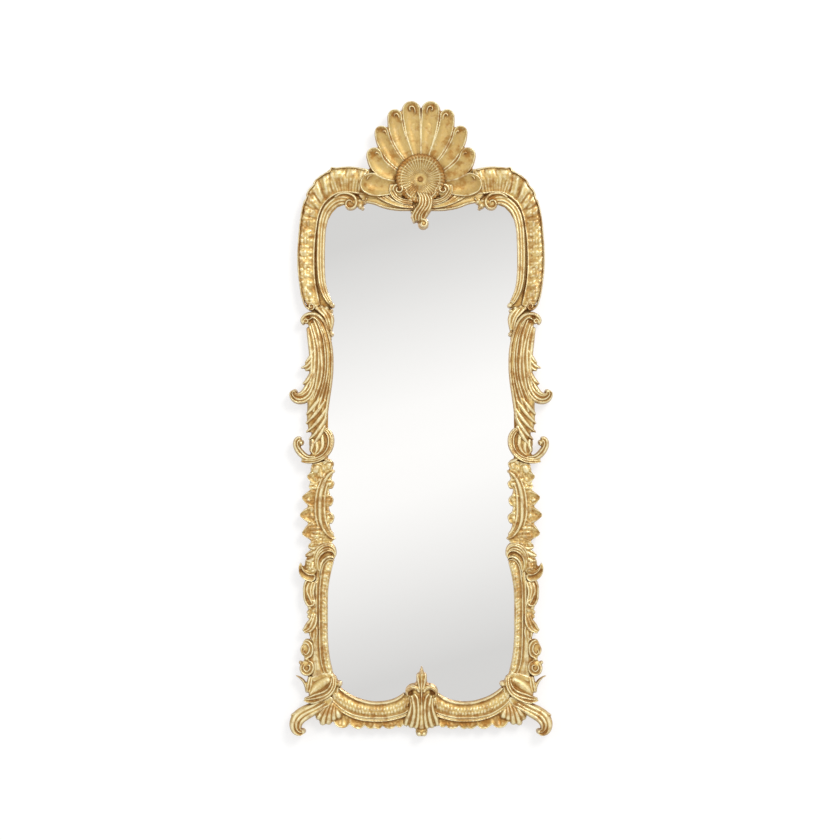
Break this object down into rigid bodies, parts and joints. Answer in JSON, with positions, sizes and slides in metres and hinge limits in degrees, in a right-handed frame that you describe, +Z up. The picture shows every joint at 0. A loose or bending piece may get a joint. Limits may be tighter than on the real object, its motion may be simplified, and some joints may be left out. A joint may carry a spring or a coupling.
{
  "type": "gilt wall mirror",
  "caption": "Tall wall mirror in a carved and gilded rococo frame with a shell crest, shaped sides and scroll feet, hung from two rings.",
  "frame": {"origin": "centre of the rear face of the pad behind the bottom rail, on the wall plane, midway between the sides", "axes": "+Z up the height of the mirror, +Y out of the back into the wall, so the carving and the glass face -Y, and +X to the right as seen from the front"},
  "size_m": [0.7936, 0.071, 1.91],
  "materials": {
    "water_gilding": "carved limewood, gesso and red bole, water gilded and lightly rubbed",
    "carcass": "softwood, bare and darkened on the back, gilded on its face and edges",
    "dowel": "beech dowel, bare",
    "silvered_glass": "silvered float plate, polished",
    "felt": "thin black felt strip",
    "leather_block": "firm leather block",
    "fillet": "planed softwood strip",
    "backing": "thin boards, aged and dry",
    "brass_screw": "slotted countersunk screws, dulled",
    "brass_hanger": "satin brass strap and ring",
    "rubber_pad": "matt black rubber"
  },
  "bodies": {
    "frame": {"top_rail": "carcass", "bottom_rail": "carcass", "left_stile": "carcass", "right_stile": "carcass", "lap_dowels": "dowel", "mirror_plate": "silvered_glass", "rebate_felt": "felt", "setting_blocks": "leather_block", "glass_fillets": "fillet", "backing_board": "backing", "back_screws": "brass_screw", "wall_pads": "rubber_pad", "hanger_straps": "brass_hanger", "shell_fan": "water_gilding", "shell_rosette": "water_gilding", "crest_apron": "water_gilding", "crest_pendant": "water_gilding", "left_side_lobe": "water_gilding", "right_side_lobe": "water_gilding", "left_crest_volute": "water_gilding", "right_crest_volute": "water_gilding", "left_crest_leaf": "water_gilding", "right_crest_leaf": "water_gilding", "left_shoulder_rim": "water_gilding", "right_shoulder_rim": "water_gilding", "left_shoulder_frill": "water_gilding", "right_shoulder_frill": "water_gilding", "left_upper_moulding": "water_gilding", "right_upper_moulding": "water_gilding", "left_neck_leaf": "water_gilding", "right_neck_leaf": "water_gilding", "left_bracket": "water_gilding", "right_bracket": "water_gilding", "left_bracket_leaf": "water_gilding", "right_bracket_leaf": "water_gilding", "left_ear_scroll": "water_gilding", "right_ear_scroll": "water_gilding", "left_rocaille_panel": "water_gilding", "right_rocaille_panel": "water_gilding", "left_knee_leaf": "water_gilding", "right_knee_leaf": "water_gilding", "left_lower_moulding": "water_gilding", "right_lower_moulding": "water_gilding", "left_side_garland": "water_gilding", "right_side_garland": "water_gilding", "left_roses": "water_gilding", "right_roses": "water_gilding", "left_corner_leaf": "water_gilding", "right_corner_leaf": "water_gilding", "left_foot_scroll": "water_gilding", "right_foot_scroll": "water_gilding", "left_base_moulding": "water_gilding", "right_base_moulding": "water_gilding", "left_base_frill": "water_gilding", "right_base_frill": "water_gilding", "base_palmette": "water_gilding"},
    "left_ring": {"left_hanger_ring": "brass_hanger"},
    "right_ring": {"right_hanger_ring": "brass_hanger"}
  },
  "joints": [
    {"name": "left_ring_swing", "type": "hinge", "parent": "frame", "child": "left_ring", "pos_m": [-0.341, -0.00412, 1.4], "axis": [1, 0, 0], "range_deg": [0, 178]},
    {"name": "right_ring_swing", "type": "hinge", "parent": "frame", "child": "right_ring", "pos_m": [0.341, -0.00412, 1.4], "axis": [1, 0, 0], "range_deg": [0, 178]}
  ]
}
